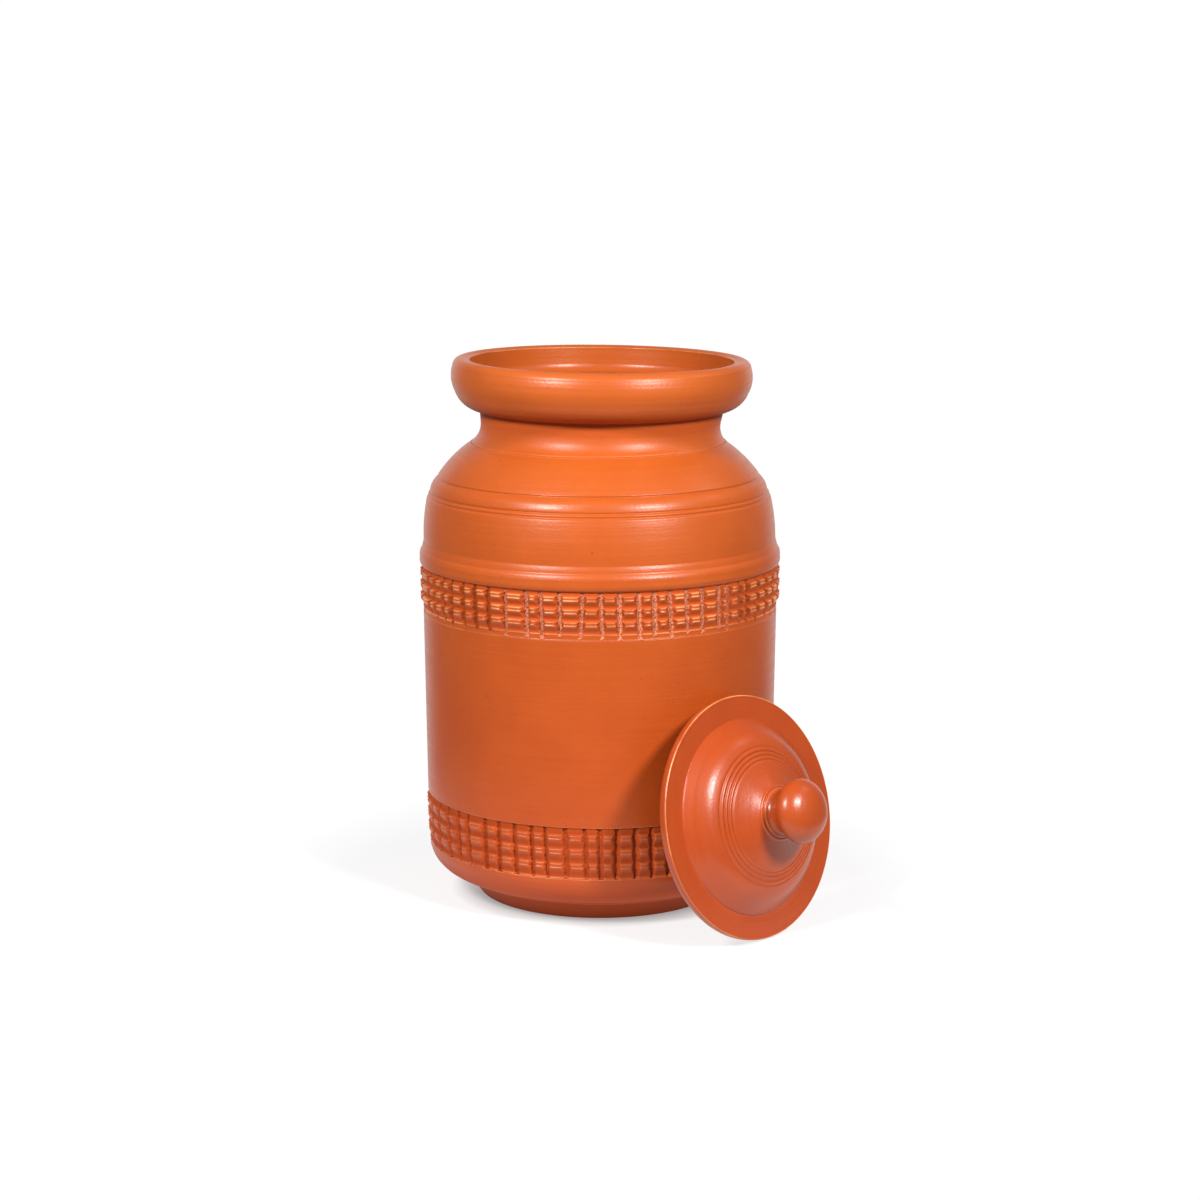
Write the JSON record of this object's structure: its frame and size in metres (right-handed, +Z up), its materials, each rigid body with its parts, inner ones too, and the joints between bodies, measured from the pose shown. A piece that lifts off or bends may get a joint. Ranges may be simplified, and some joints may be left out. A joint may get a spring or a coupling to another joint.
{
  "type": "terracotta storage jar",
  "caption": "Round burnished terracotta storage jar with flared rim, grooved shoulder and notched bead bands; its domed lid with round knob leans against the wall.",
  "frame": {"origin": "centre of the flat underside of the jar's foot, on the surface it stands on", "axes": "+Z up along the jar's axis; +X the horizontal way that the knob of the leaning lid points"},
  "size_m": [0.2739, 0.2032, 0.3033],
  "materials": {
    "burnished_terracotta": "burnished, satin, unglazed orange terracotta with fine turning lines",
    "carved_terracotta": "burnished beads with gritty raw clay in the hand-cut notches"
  },
  "bodies": {
    "jar": {"foot": "burnished_terracotta", "body": "burnished_terracotta", "lower_band": "carved_terracotta", "upper_band": "carved_terracotta", "shoulder": "burnished_terracotta", "neck": "burnished_terracotta"},
    "lid": {"lid": "burnished_terracotta", "lid_knob": "burnished_terracotta"}
  },
  "joints": [
    {"name": "lid_lift", "type": "slide", "parent": "jar", "child": "lid", "axis": [0.9736, 0, 0.2284], "range_m": [0, 0.2]}
  ]
}
